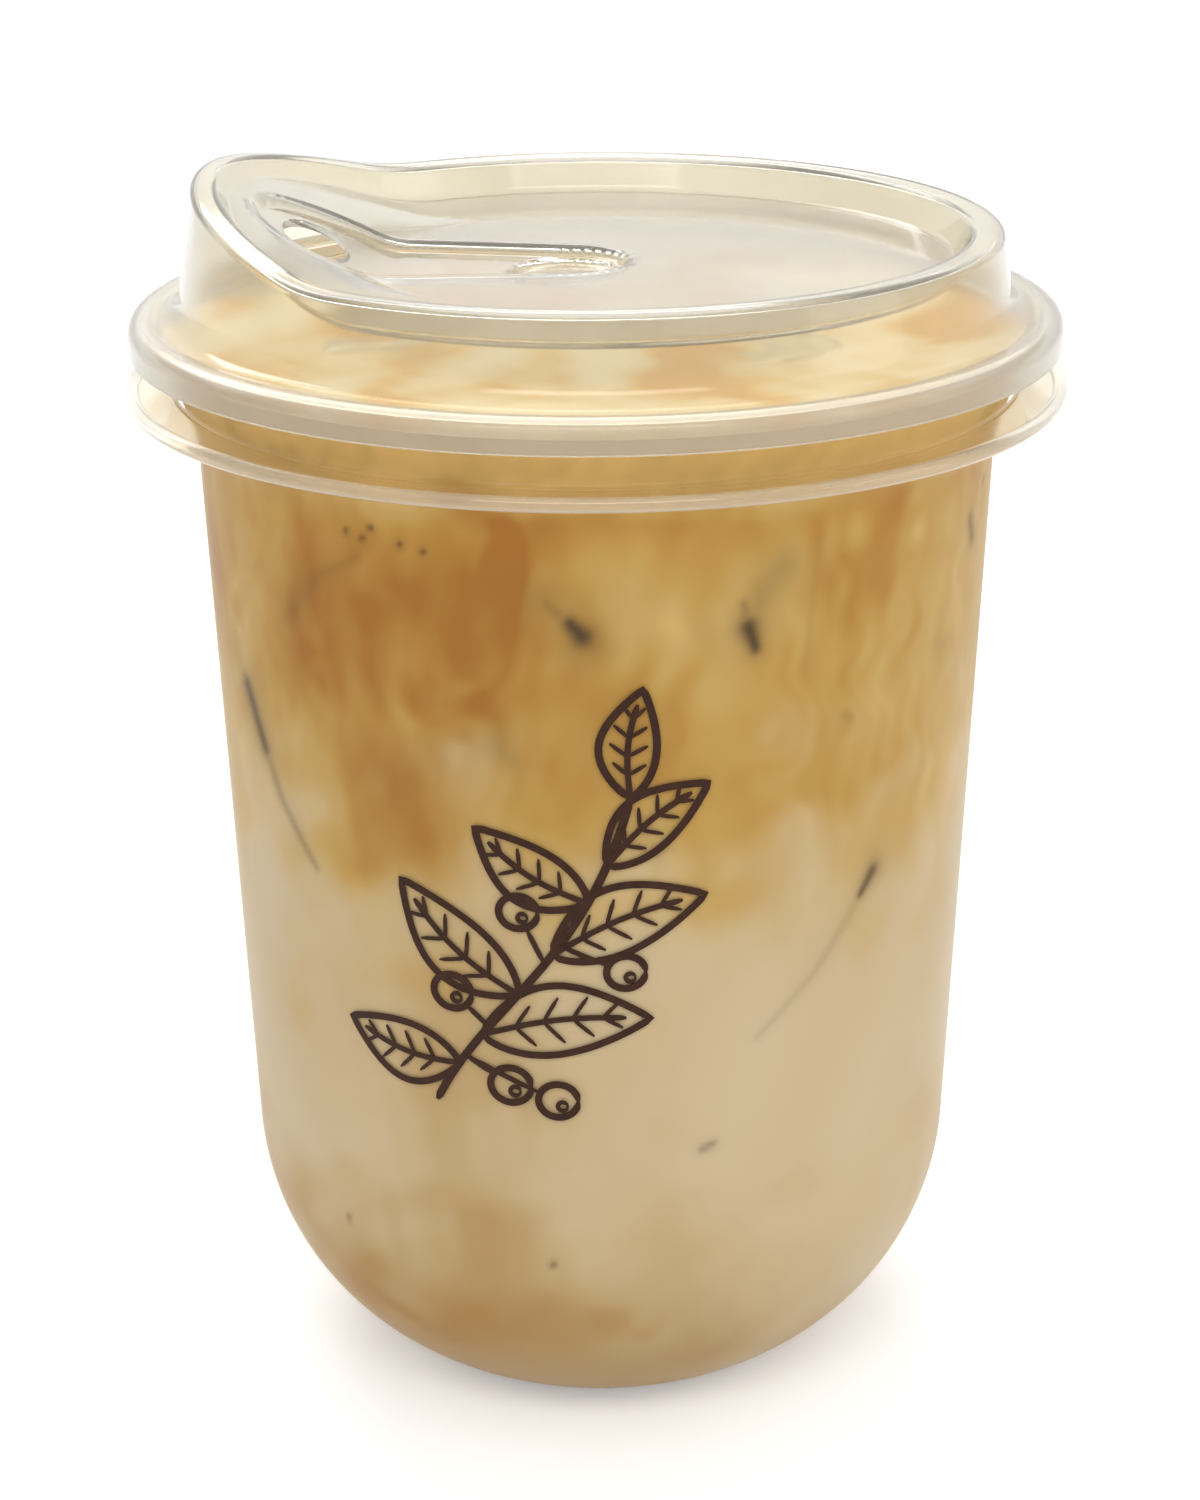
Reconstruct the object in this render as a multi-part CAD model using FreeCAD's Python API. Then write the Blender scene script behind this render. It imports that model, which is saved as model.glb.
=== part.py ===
"""Iced milk coffee in a round-bottomed takeaway cup with a clear drink-through lid.

Three pieces, each its own solid: the moulded cup, the lid that sits on its rim,
and the drink that fills the cup to just under the rim.  Millimetres, +Z up.
Origin: centre of the foot, on the surface that the cup stands on.
The lid's spout points along spout_azimuth_deg, 4 degrees off -X.
"""
import FreeCAD, Part
import math
import os

from FreeCAD import Vector

# ---------------------------------------------------------------- cup
cup_height = 114.7          # foot to top of rim
rim_radius = 45.4           # outside of the rolled rim, a 90 mm class cup
cup_wall = 0.8
foot_radius = 20.4          # outside of the flat ring that the cup stands on
foot_ring_width = 4.0
foot_recess = 0.8           # hollow under the foot
corner_radius = 29.7        # big round between foot and wall
wall_draft_deg = 2.2        # the wall narrows this much towards the foot
shoulder_drop = 11.7        # rim top down to where the wall starts to flare
neck_flare = 4.3            # rim's outside to the outside of the wall at the shoulder
rim_bead_radius = 0.75
rim_lip_round = 0.4         # inner edge of the rim's top
flange_drop = 6.9           # rim top down to the middle of the flange
flange_overhang = 2.6       # flange beyond the rim's outside
flange_thickness = 0.8
flange_bead_radius = 0.75

# ---------------------------------------------------------------- drink
level_drop = 1.7            # rim top down to the surface of the drink

# ---------------------------------------------------------------- lid
lid_wall = 0.7
lid_seat_clearance = 0.05   # rim top to underside of the lid's shelf
skirt_gap = 1.2             # rim's outside to the inside of the skirt
skirt_height = 3.25         # shelf down to the skirt's open edge
shoulder_round = 1.4        # outer edge of the shelf
shelf_width = 4.9           # skirt's outside to the foot of the dome
dome_foot_round = 2.6
dome_height = 8.15          # shelf to the flat of the top ring
dome_lean = 1.3             # dome's foot to the ring's outside, measured inwards
ring_width = 3.2
ring_round = 0.9            # both edges of the top ring
ring_fall = 0.2             # the ring's flat falls this much inwards
panel_drop = 3.7            # top ring down to the sunk panel
step_run = 1.4              # run of the step from the ring to the panel
step_round = 0.9
spout_azimuth_deg = 176.0
spout_rise = 5.5            # spout's lip above the rest of the top ring
spout_lean = 0.9            # the lip leans in by this much
spout_half_deg = 51.0       # half width of the lip's arch
spout_toe_deg = 6.0         # the arch's ends run out softly over this much either way
ramp_run = 13.0             # foot of the step to where the ramp behind the lip runs out
ramp_share = 1.29           # ramp's height over the spout's rise
channel_depth = 1.0         # shallow egg-shaped channel that drains back to the hole
channel_wide_radius = 8.9   # its round end under the lip
channel_wide_gap = 11.0     # foot of the step to the middle of that end
channel_narrow_radius = 6.3  # its round inner end
channel_inner_reach = 3.1   # middle of its inner end, from the lid's axis
dimple_depth = 0.6          # round dimple at the channel's inner end
dimple_radius = 5.0
hole_gap = 8.0              # foot of the step to the middle of the drinking hole
hole_length = 11.0          # across the spout
hole_width = 6.4            # along the spout

# ---------------------------------------------------------------- how the lid is built
spout_sections = 24         # lofted steps round the spout
toe_flat = 3.5              # flat of the panel kept inside the ramp's toe
tool_height = 40.0          # upright cutters
sew_tolerance = 1e-3

# ---------------------------------------------------------------- worked out
shoulder_radius = rim_radius - neck_flare
level_z = cup_height - level_drop
shelf_z = cup_height + lid_seat_clearance + lid_wall
skirt_radius = rim_radius + skirt_gap + lid_wall
skirt_edge_z = shelf_z - skirt_height
dome_foot_radius = skirt_radius - shelf_width
ring_z = shelf_z + dome_height
ring_radius = dome_foot_radius - dome_lean
ring_inner_radius = ring_radius - ring_width
step_radius = ring_inner_radius - step_run
ramp_toe_radius = step_radius - ramp_run
panel_z = ring_z - panel_drop
spout_azimuth = math.radians(spout_azimuth_deg)
axis = Vector(0, 0, 1)
origin = Vector(0, 0, 0)


# ---------------------------------------------------------------- cup and drink
draft = math.radians(wall_draft_deg)
shoulder_z = cup_height - shoulder_drop
rim_centre = (rim_radius - rim_bead_radius, cup_height - rim_bead_radius)
flare_slope = (rim_centre[0] - shoulder_radius) / (rim_centre[1] - shoulder_z)


def line(start, end):
    """Straight edge between two (r, z) points in the XZ plane."""
    return Part.LineSegment(Vector(start[0], 0, start[1]), Vector(end[0], 0, end[1])).toShape()


def arc(centre, radius, start, end):
    """Edge in the XZ plane along a circle, between two angles from +X towards +Z."""
    angles = (start, 0.5 * (start + end), end)
    points = [(centre[0] + radius * math.cos(a), centre[1] + radius * math.sin(a)) for a in angles]
    return Part.Arc(*(Vector(r, 0, z) for r, z in points)).toShape()


def revolve(edges):
    """Solid of revolution about Z from a closed profile in the XZ plane."""
    return Part.Face(Part.Wire(edges)).revolve(origin, axis, 360)


def where(low, high, is_below):
    """Value between two bounds at which a test stops being true, by halving."""
    for _ in range(60):
        middle = 0.5 * (low + high)
        low, high = (middle, high) if is_below(middle) else (low, middle)
    return middle


def wall_radius(z, inset_by):
    """Radius of the drafted wall at a height, set in from its outside."""
    return shoulder_radius + (z - shoulder_z) * math.tan(draft) - inset_by / math.cos(draft)


def flare_radius(z, inset_by):
    """Radius of the flared neck at a height, set in from its outside."""
    return shoulder_radius + (z - shoulder_z) * flare_slope - inset_by * math.hypot(1, flare_slope)


def corner_centre(z):
    """Middle of the corner's circle if it touches the drafted wall and sits at a height."""
    return wall_radius(z, 0) - corner_radius / math.cos(draft), z


# The corner's circle touches the wall and meets the standing surface at the foot's edge.
corner = corner_centre(where(0.5 * corner_radius, corner_radius, lambda z:
                             math.hypot(foot_radius - corner_centre(z)[0], z) < corner_radius))


def inside_path(top_z):
    """Edges of the cup's inside from the axis up to a height on the flare, and that top point."""
    floor_z = foot_recess + cup_wall
    radius = corner_radius - cup_wall
    start = math.asin((floor_z - corner[1]) / radius)
    round_ = arc(corner, radius, start, -draft)
    knee_z = where(corner[1], cup_height, lambda z: wall_radius(z, cup_wall) > flare_radius(z, cup_wall))
    knee = (wall_radius(knee_z, cup_wall), knee_z)
    top = (flare_radius(top_z, cup_wall), top_z)
    foot = (round_.valueAt(round_.FirstParameter).x, floor_z)
    wall = (corner[0] + radius * math.cos(draft), corner[1] - radius * math.sin(draft))
    return [line((0, floor_z), foot), round_, line(wall, knee), line(knee, top)], top


def make_cup():
    lip_z = cup_height - rim_lip_round
    edges, lip = inside_path(lip_z)
    # rolled rim: small inner round, flat top, full outer round
    lip_centre = (lip[0] + rim_lip_round, lip_z)
    under_z = rim_centre[1] - rim_bead_radius
    under = (flare_radius(under_z, 0), under_z)
    edges += [arc(lip_centre, rim_lip_round, math.pi, math.pi / 2),
              line((lip_centre[0], cup_height), (rim_centre[0], cup_height)),
              arc(rim_centre, rim_bead_radius, math.pi / 2, 0),
              line((rim_radius, rim_centre[1]), (rim_radius, under_z)),
              line((rim_radius, under_z), under)]
    # flange: a thin plate with a round bead along its edge
    flange_z = cup_height - flange_drop
    half = 0.5 * flange_thickness
    bead = (rim_radius + flange_overhang - flange_bead_radius, flange_z)
    bite = math.pi - math.asin(half / flange_bead_radius)
    bead_in = bead[0] + flange_bead_radius * math.cos(bite)
    edges += [line(under, (flare_radius(flange_z + half, 0), flange_z + half)),
              line((flare_radius(flange_z + half, 0), flange_z + half), (bead_in, flange_z + half)),
              arc(bead, flange_bead_radius, bite, -bite),
              line((bead_in, flange_z - half), (flare_radius(flange_z - half, 0), flange_z - half)),
              line((flare_radius(flange_z - half, 0), flange_z - half), (shoulder_radius, shoulder_z))]
    # wall, corner and foot
    wall = (corner[0] + corner_radius * math.cos(draft), corner[1] - corner_radius * math.sin(draft))
    foot_angle = math.asin(-corner[1] / corner_radius)
    ring_in = foot_radius - foot_ring_width
    edges += [line((shoulder_radius, shoulder_z), wall),
              arc(corner, corner_radius, -draft, foot_angle),
              line((foot_radius, 0), (ring_in, 0)),
              line((ring_in, 0), (ring_in - foot_recess, foot_recess)),
              line((ring_in - foot_recess, foot_recess), (0, foot_recess)),
              line((0, foot_recess), (0, foot_recess + cup_wall))]
    return revolve(edges)


def make_drink():
    edges, top = inside_path(level_z)
    edges += [line(top, (0, level_z)), line((0, level_z), (0, foot_recess + cup_wall))]
    return revolve(edges)


# ---------------------------------------------------------------- lid
def rise_at(azimuth):
    """Height of the top ring above its plain level: a cosine arch that runs out softly."""
    off = abs((azimuth - spout_azimuth + math.pi) % (2 * math.pi) - math.pi)
    half, toe = math.radians(spout_half_deg), math.radians(spout_toe_deg)
    bend = 0.5 * math.pi / half
    if off < half - toe:
        return spout_rise * math.cos(bend * off)
    left = max(0.0, half + toe - off) / (2 * toe)
    return spout_rise * math.sin(bend * toe) * left * left


def lid_corners(azimuth):
    """Corners of the lid's outer side in (r, z), from the skirt's edge to the flat of the panel."""
    rise = rise_at(azimuth)
    lean = spout_lean * rise / spout_rise
    return [(skirt_radius, skirt_edge_z),
            (skirt_radius, shelf_z),
            (dome_foot_radius, shelf_z),
            (ring_radius - lean, ring_z + rise),
            (ring_inner_radius, ring_z + rise - ring_fall),
            (step_radius, panel_z + ramp_share * rise),
            (ramp_toe_radius, panel_z),
            (ramp_toe_radius - toe_flat, panel_z)]


def inset(corners, distance):
    """The same polyline moved to its left by a distance; the two end points move square to it."""
    lines_ = []
    for (r0, z0), (r1, z1) in zip(corners, corners[1:]):
        length = math.hypot(r1 - r0, z1 - z0)
        nr, nz = -(z1 - z0) / length, (r1 - r0) / length
        lines_.append((nr, nz, nr * r0 + nz * z0 + distance))
    moved = [(corners[0][0] + lines_[0][0] * distance, corners[0][1] + lines_[0][1] * distance)]
    for (a0, b0, c0), (a1, b1, c1), (r, z) in zip(lines_, lines_[1:], corners[1:]):
        det = a0 * b1 - a1 * b0
        if abs(det) < 1e-9:
            moved.append((r + a0 * distance, z + b0 * distance))
        else:
            moved.append(((c0 * b1 - c1 * b0) / det, (a0 * c1 - a1 * c0) / det))
    end_r, end_z = corners[-1]
    moved.append((end_r + lines_[-1][0] * distance, end_z + lines_[-1][1] * distance))
    return moved


def rounded_path(corners, rounds, azimuth):
    """Wire along the polyline in the upright plane at an azimuth, its first corners rounded."""
    def place(r, z):
        return Vector(r * math.cos(azimuth), r * math.sin(azimuth), z)

    edges = []
    here = corners[0]
    for before, corner, after, radius in zip(corners, corners[1:], corners[2:], rounds):
        ar, az = before[0] - corner[0], before[1] - corner[1]
        br, bz = after[0] - corner[0], after[1] - corner[1]
        la, lb = math.hypot(ar, az), math.hypot(br, bz)
        ar, az, br, bz = ar / la, az / la, br / lb, bz / lb
        half = 0.5 * math.acos(ar * br + az * bz)
        setback = radius / math.tan(half)
        start = (corner[0] + setback * ar, corner[1] + setback * az)
        end = (corner[0] + setback * br, corner[1] + setback * bz)
        mr, mz = ar + br, az + bz
        reach = (radius / math.sin(half) - radius) / math.hypot(mr, mz)
        middle = (corner[0] + mr * reach, corner[1] + mz * reach)
        edges.append(Part.LineSegment(place(*here), place(*start)).toShape())
        edges.append(Part.Arc(place(*start), place(*middle), place(*end)).toShape())
        here = end
    for corner in corners[len(rounds) + 1:]:
        edges.append(Part.LineSegment(place(*here), place(*corner)).toShape())
        here = corner
    return Part.Wire(edges)


def lid_paths(azimuth):
    """Outer and inner side of the lid's wall at an azimuth."""
    corners = lid_corners(azimuth)
    outside = [shoulder_round, dome_foot_round, ring_round, ring_round, step_round]
    turns_inwards = [True, False, True, True, False]
    inside = [r - lid_wall if inwards else r + lid_wall for r, inwards in zip(outside, turns_inwards)]
    return (rounded_path(corners, outside, azimuth),
            rounded_path(inset(corners, lid_wall), inside, azimuth))


def flat_loop(faces, z, radius):
    """Closed wire of the faces' edges that lie in one level at one radius."""
    def lies_there(point):
        return abs(point.z - z) < sew_tolerance and abs(math.hypot(point.x, point.y) - radius) < sew_tolerance

    edges = [edge for face in faces for edge in face.Edges]
    found = [edge for edge in edges if all(lies_there(p) for p in edge.discretize(5))]
    return Part.Wire(Part.sortEdges(found)[0])


def lid_wall_solid():
    """Closed shell of the lid: turned all round but for the spout, which is lofted."""
    half = math.radians(spout_half_deg + spout_toe_deg)
    azimuths = [spout_azimuth - half + 2 * half * i / spout_sections for i in range(spout_sections + 1)]
    sections = [lid_paths(a) for a in azimuths]
    faces = []
    ends = []
    for side in (0, 1):
        turned = sections[-1][side].revolve(origin, axis, 360 - 2 * (spout_half_deg + spout_toe_deg))
        lofted = Part.makeLoft([section[side] for section in sections], False, False)
        skin = turned.Faces + lofted.Faces
        inner_z = panel_z - side * lid_wall
        ends.append(flat_loop(skin, skirt_edge_z, skirt_radius - side * lid_wall))
        skin.append(Part.Face(flat_loop(skin, inner_z, ramp_toe_radius - toe_flat)))
        faces += skin
    faces.append(Part.Face(ends))
    shell = Part.Shell(faces)
    shell.sewShape(sew_tolerance)
    solid = Part.Solid(shell)
    solid.fix(sew_tolerance, sew_tolerance, sew_tolerance)
    return solid


def channel_outline(growth):
    """Upright prism over the drain channel's plan: two round ends joined by straight tangents."""
    wide_r, wide_x = channel_wide_radius + growth, step_radius - channel_wide_gap
    narrow_r, narrow_x = channel_narrow_radius + growth, channel_inner_reach
    lean = math.asin((wide_r - narrow_r) / (wide_x - narrow_x))
    ends = []
    for middle, radius in ((wide_x, wide_r), (narrow_x, narrow_r)):
        ends.append(Vector(middle - radius * math.sin(lean), radius * math.cos(lean), 0))
    wide, narrow = ends
    edges = [Part.LineSegment(narrow, wide).toShape(),
             Part.Arc(wide, Vector(wide_x + wide_r, 0, 0), Vector(wide.x, -wide.y, 0)).toShape(),
             Part.LineSegment(Vector(wide.x, -wide.y, 0), Vector(narrow.x, -narrow.y, 0)).toShape(),
             Part.Arc(Vector(narrow.x, -narrow.y, 0), Vector(narrow_x - narrow_r, 0, 0), narrow).toShape()]
    channel = Part.Face(Part.Wire(edges)).extrude(Vector(0, 0, tool_height))
    channel.rotate(origin, axis, spout_azimuth_deg)
    channel.translate(Vector(0, 0, panel_z - 0.5 * tool_height))
    return channel


def dimple_outline(growth):
    dimple = Part.makeCylinder(dimple_radius + growth, tool_height)
    dimple.translate(Vector(channel_inner_reach * math.cos(spout_azimuth),
                            channel_inner_reach * math.sin(spout_azimuth), panel_z - 0.5 * tool_height))
    return dimple


def sunk(lid, outline, depth):
    """The lid with the part of its wall inside an outline moved down, and upright walls round it."""
    inside, around = outline(0), outline(lid_wall)
    border = around.cut(inside)
    steps = math.ceil(2 * depth / lid_wall)
    result = lid.cut(inside)
    for i in range(1, steps + 1):
        lowered = lid.copy()
        lowered.translate(Vector(0, 0, -depth * i / steps))
        result = result.fuse(lowered.common(border if i < steps else around))
    return result.removeSplitter()


def hole_cutter():
    """Upright oval for the drinking hole, its long way across the spout."""
    hole = Part.makeCylinder(0.5, tool_height)
    matrix = FreeCAD.Matrix()
    matrix.scale(hole_width, hole_length, 1)
    hole = hole.transformGeometry(matrix)
    hole.translate(Vector(step_radius - hole_gap, 0, panel_z - 0.5 * tool_height))
    hole.rotate(origin, axis, spout_azimuth_deg)
    return hole


def make_lid():
    lid = sunk(lid_wall_solid(), channel_outline, channel_depth)
    lid = sunk(lid, dimple_outline, dimple_depth)
    return lid.cut(hole_cutter()).Solids[0]


os.makedirs("parts", exist_ok=True)
for name, shape in (("cup", make_cup()), ("drink", make_drink()), ("lid", make_lid())):
    print(name, shape.ShapeType, "valid", shape.isValid(), "volume", round(shape.Volume, 1), "mm3")
    shape.exportStep("parts/" + name + ".step")
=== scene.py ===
import math

import bmesh
import bpy
import numpy as np
from mathutils import Matrix, Vector


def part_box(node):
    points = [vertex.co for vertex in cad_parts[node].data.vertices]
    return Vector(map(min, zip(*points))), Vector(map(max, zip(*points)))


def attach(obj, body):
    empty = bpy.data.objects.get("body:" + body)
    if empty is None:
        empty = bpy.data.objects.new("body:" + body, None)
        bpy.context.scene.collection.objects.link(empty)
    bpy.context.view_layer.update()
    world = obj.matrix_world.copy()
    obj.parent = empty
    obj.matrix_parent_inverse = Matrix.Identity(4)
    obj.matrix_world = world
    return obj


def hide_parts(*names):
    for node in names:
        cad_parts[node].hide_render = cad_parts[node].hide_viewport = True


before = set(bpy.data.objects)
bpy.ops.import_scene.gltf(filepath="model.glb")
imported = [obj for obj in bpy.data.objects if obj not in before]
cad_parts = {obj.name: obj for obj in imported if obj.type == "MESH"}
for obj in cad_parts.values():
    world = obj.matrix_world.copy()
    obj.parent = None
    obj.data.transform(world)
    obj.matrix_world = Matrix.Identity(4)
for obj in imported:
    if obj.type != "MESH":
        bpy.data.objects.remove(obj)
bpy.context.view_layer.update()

# ---------------------------------------------------------------- camera
# A portrait lens at arm's length, a little above the lid and looking down about 21 degrees,
# with the cup's spout to the left.
MM = 0.001
LENS_MM = 74.1
SENSOR_MM = 36.0
CAMERA_AT = Vector((0.15, -310.0, 185.2)) * MM
PITCH_DOWN = 0.3655
CAMERA_ROLL = -0.0071

look = Vector((0.0, math.cos(PITCH_DOWN), -math.sin(PITCH_DOWN)))
level_up = Vector((0.0, math.sin(PITCH_DOWN), math.cos(PITCH_DOWN)))
side = Vector((1.0, 0.0, 0.0)) * math.cos(CAMERA_ROLL) + level_up * math.sin(CAMERA_ROLL)
up = level_up * math.cos(CAMERA_ROLL) - Vector((1.0, 0.0, 0.0)) * math.sin(CAMERA_ROLL)
scene = bpy.context.scene
camera_data = bpy.data.cameras.new("portrait_lens")
camera_data.sensor_width = SENSOR_MM
camera_data.lens = LENS_MM
camera_data.clip_start = 0.01
camera = bpy.data.objects.new("portrait_camera", camera_data)
camera.matrix_world = Matrix.Translation(CAMERA_AT) @ Matrix((side, up, -look)).transposed().to_4x4()
scene.collection.objects.link(camera)
scene.camera = camera
scene.view_settings.view_transform = "Standard"

# ---------------------------------------------------------------- floor, backdrop and lamps
# A white table top that runs out of sight and keeps a soft shadow, under a white room light.
# One large soft lamp behind and above, a strip in front for the lid's shoulder, and a side fill.
AMBIENT = 0.78
ROOM_WHITE = (1.0, 1.0, 1.0, 1.0)
FLOOR_COLOR = (0.86, 0.86, 0.86, 1.0)
FLOOR_GLOW = 0.32
FLOOR_HALF = 3.0


def seen_directly(nodes, links):
    """1 for rays from the camera, off a gloss or through the plastic; 0 for light on its way."""
    path = nodes.new("ShaderNodeLightPath")
    total = nodes.new("ShaderNodeMath")
    total.operation = "ADD"
    links.new(path.outputs["Is Camera Ray"], total.inputs[0])
    links.new(path.outputs["Is Glossy Ray"], total.inputs[1])
    clipped = nodes.new("ShaderNodeMath")
    clipped.operation = "ADD"
    clipped.use_clamp = True
    links.new(total.outputs[0], clipped.inputs[0])
    links.new(path.outputs["Is Transmission Ray"], clipped.inputs[1])
    return clipped.outputs[0]


world = bpy.data.worlds.new("white_room")
scene.world = world
world.use_nodes = True
nodes, links = world.node_tree.nodes, world.node_tree.links
backdrop = nodes["Background"]
backdrop.inputs["Color"].default_value = ROOM_WHITE
strength = nodes.new("ShaderNodeMapRange")
strength.inputs["To Min"].default_value = AMBIENT
strength.inputs["To Max"].default_value = 1.0
links.new(seen_directly(nodes, links), strength.inputs["Value"])
links.new(strength.outputs["Result"], backdrop.inputs["Strength"])

floor_mesh = bpy.data.meshes.new("table_top")
floor_corners = [(x * FLOOR_HALF, y * FLOOR_HALF, 0.0) for x, y in ((-1, -1), (1, -1), (1, 1), (-1, 1))]
floor_mesh.from_pydata(floor_corners, [], [(0, 1, 2, 3)])
floor = bpy.data.objects.new("table_top", floor_mesh)
scene.collection.objects.link(floor)
floor_paint = bpy.data.materials.new("white_table")
floor_paint.use_nodes = True
nodes, links = floor_paint.node_tree.nodes, floor_paint.node_tree.links
paint = nodes["Principled BSDF"]
paint.inputs["Base Color"].default_value = FLOOR_COLOR
paint.inputs["Roughness"].default_value = 0.9
paint.inputs["Specular IOR Level"].default_value = 0.1
paint.inputs["Emission Color"].default_value = (1.0, 1.0, 1.0, 1.0)
glow = nodes.new("ShaderNodeMath")
glow.operation = "MULTIPLY"
glow.inputs[1].default_value = FLOOR_GLOW
links.new(seen_directly(nodes, links), glow.inputs[0])
links.new(glow.outputs[0], paint.inputs["Emission Strength"])
floor_mesh.materials.append(floor_paint)

LID_MIDDLE = Vector((0.0, 0.0, 0.115))


def lamp(name, place, size, watts, color=(1.0, 1.0, 1.0)):
    """Rectangular soft lamp at a place, in metres, turned towards the middle of the lid."""
    data = bpy.data.lights.new(name, "AREA")
    data.shape = "RECTANGLE"
    data.size, data.size_y = size
    data.energy = watts
    data.color = color
    obj = bpy.data.objects.new(name, data)
    obj.location = place
    obj.rotation_euler = (LID_MIDDLE - Vector(place)).to_track_quat("-Z", "Y").to_euler()
    scene.collection.objects.link(obj)


lamp("back_softbox", (-0.25, 0.95, 0.95), (0.9, 0.5), 6.5)
lamp("front_softbox", (0.0, -0.85, 0.95), (1.1, 0.32), 4.6)
lamp("side_fill", (1.0, -0.3, 0.35), (0.6, 0.8), 1.6, (1.0, 0.97, 0.93))

# ---------------------------------------------------------------- cup
# A takeaway cup moulded in one piece of thin frosted polypropylene: round bottom, flat ring foot,
# drafted wall, flared neck, a beaded flange and a rolled rim.  One turned, closed skin.
CUP_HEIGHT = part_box("cup")[1].z / MM
RIM_RADIUS = 45.4
CUP_WALL = 0.8
FOOT_RADIUS = 20.4
FOOT_RING = 4.0
FOOT_RECESS = 0.8
CORNER_RADIUS = 29.7
DRAFT = math.radians(2.2)
SHOULDER_Z = CUP_HEIGHT - 11.7
SHOULDER_RADIUS = RIM_RADIUS - 4.3
RIM_BEAD = 0.75
FLANGE_Z = CUP_HEIGHT - 6.9
FLANGE_HALF = 0.4
FLANGE_BEAD = 0.75
FLANGE_EDGE = RIM_RADIUS + 2.6
FLARE_SLOPE = (RIM_RADIUS - RIM_BEAD - SHOULDER_RADIUS) / (CUP_HEIGHT - RIM_BEAD - SHOULDER_Z)
LIP_ROUND = 0.4
INNER_KNEE = 6.0
OUTER_KNEE = 5.0
ROUND_STEPS = 7
ROUND_SUPPORT = 0.12
NO_BEND_REACH = 0.5
BOTTOM_STEPS = 40
CUP_COLUMNS = 288


def bend(before, corner, after, radius, steps):
    """Start of the arc that rounds a corner, its points without the last, and its end."""
    corner = np.array(corner, float)
    a = np.array(before, float) - corner
    b = np.array(after, float) - corner
    a /= np.hypot(*a)
    b /= np.hypot(*b)
    half = 0.5 * math.acos(max(-1.0, min(1.0, a @ b)))
    if half > 0.5 * math.pi - 1e-6:
        start, end = corner + NO_BEND_REACH * a, corner + NO_BEND_REACH * b
        return start, [start + (end - start) * i / steps for i in range(steps)], end
    setback = radius / math.tan(half)
    start, end = corner + setback * a, corner + setback * b
    centre = corner + (a + b) / np.hypot(*(a + b)) * radius / math.sin(half)
    first, last = start - centre, end - centre
    turn = math.atan2(first[0] * last[1] - first[1] * last[0], first @ last)
    points = []
    for step in range(steps):
        c, s = math.cos(turn * step / steps), math.sin(turn * step / steps)
        points.append(centre + (first[0] * c - first[1] * s, first[0] * s + first[1] * c))
    return start, points, end


def rounded(corners, rounds, longest=2.5):
    """Points along a polyline whose inner corners are rounded, with close points beside each round."""
    points = []
    here = np.array(corners[0], float)
    for before, corner, after, radius in zip(corners, corners[1:], corners[2:], rounds):
        start, arc_points, end = bend(before, corner, after, radius, ROUND_STEPS)
        points += run(here, start, longest) + arc_points
        here = end
    last = np.array(corners[-1], float)
    return points + run(here, last, longest) + [last]


def run(start, end, longest):
    """Points from start up to, but without, end: one close to each end and even steps between."""
    length = np.hypot(*(end - start))
    if length < 4 * ROUND_SUPPORT:
        return [start]
    count = max(1, math.ceil(length / longest))
    close = ROUND_SUPPORT / length
    shares = [0.0] + list(np.linspace(close, 1 - close, count + 1))
    return [start + (end - start) * share for share in shares]


def wall_radius(z, inset_by=0.0):
    """Radius of the wall's outside at a height, or that far inside it."""
    return SHOULDER_RADIUS + (z - SHOULDER_Z) * math.tan(DRAFT) - inset_by / math.cos(DRAFT)


def flare_radius(z, inset_by=0.0):
    """The same for the flared neck."""
    return SHOULDER_RADIUS + (z - SHOULDER_Z) * FLARE_SLOPE - inset_by * math.hypot(1, FLARE_SLOPE)


def corner_centre():
    """Middle of the big bottom round, which touches the wall and passes the foot's edge."""
    low, high = 0.5 * CORNER_RADIUS, CORNER_RADIUS
    for _ in range(50):
        z = 0.5 * (low + high)
        r = wall_radius(z) - CORNER_RADIUS / math.cos(DRAFT)
        low, high = (z, high) if math.hypot(FOOT_RADIUS - r, z) < CORNER_RADIUS else (low, z)
    return np.array((r, z))


CORNER = corner_centre()


def arc(centre, radius, start, end, steps):
    """Points on a circle between two angles, the last one left out."""
    angles = start + (end - start) * np.arange(steps) / steps
    return [np.array((centre[0] + radius * math.cos(a), centre[1] + radius * math.sin(a))) for a in angles]


def inside_curve(top_z, inset_by, floor_z):
    """Inside of the cup from its floor up to a height on the flare, set in by a wall."""
    radius = CORNER_RADIUS - inset_by
    start = math.asin((floor_z - CORNER[1]) / radius)
    round_ = arc(CORNER, radius, start, -DRAFT, BOTTOM_STEPS)
    wall_low = CORNER + (radius * math.cos(DRAFT), -radius * math.sin(DRAFT))
    knee = (wall_radius(SHOULDER_Z, inset_by), SHOULDER_Z)
    top = (flare_radius(top_z, inset_by), top_z)
    floor = [np.array((0.0, floor_z)), np.array((0.5 * round_[0][0], floor_z))]
    return floor + round_ + rounded([wall_low, knee, top], [INNER_KNEE], longest=1.5)


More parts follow.
